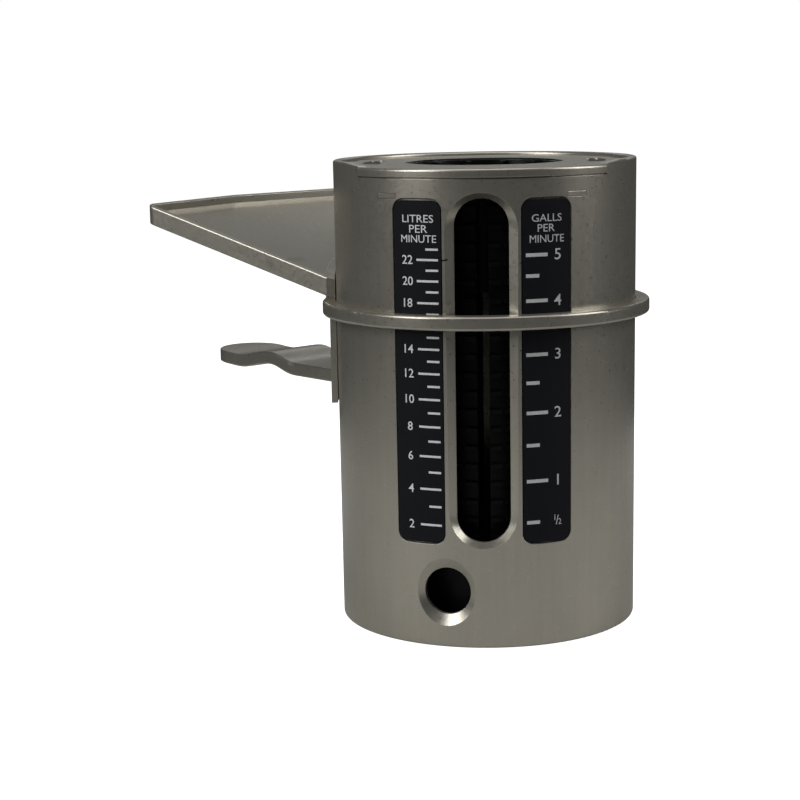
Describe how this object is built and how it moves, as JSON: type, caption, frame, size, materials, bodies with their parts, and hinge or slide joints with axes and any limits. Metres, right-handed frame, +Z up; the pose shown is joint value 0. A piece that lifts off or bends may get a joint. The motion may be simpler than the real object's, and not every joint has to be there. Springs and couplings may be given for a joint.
{
  "type": "water flow weir gauge",
  "caption": "Tapered round cup with a reading window between two printed flow scales, a slotted inner cup, and a turning ring handle with a sloping guard tray and a finger grip.",
  "frame": {"origin": "centre of the casing's base, on the casing's axis, at the level of the surface that it stands on", "axes": "+Z up along the casing's axis; the reading window faces -Y; the handle lies behind and to the left, between -X and +Y"},
  "size_m": [0.1542, 0.1542, 0.1379],
  "materials": {
    "champagne_paint": "moulded plastic with satin champagne-silver metallic paint",
    "scale_black": "satin black printed panel",
    "cup_black": "glossy black moulded plastic",
    "scale_ink": "screen-printed light grey ink"
  },
  "bodies": {
    "gauge": {"outer_casing": "champagne_paint", "inlet_lid": "champagne_paint", "litres_scale": "scale_black", "gallons_scale": "scale_black", "weir_cup": "cup_black", "inlet_tube": "cup_black", "jet_spreader": "cup_black"},
    "handle": {"handle_ring": "champagne_paint", "handle_skirt": "champagne_paint", "guard_wall": "champagne_paint", "splash_guard": "champagne_paint", "finger_grip": "champagne_paint"}
  },
  "joints": [
    {"name": "handle_swivel", "type": "hinge", "parent": "gauge", "child": "handle", "pos_m": [0, 0, 0.09415], "axis": [0, 0, 1], "continuous": true}
  ]
}
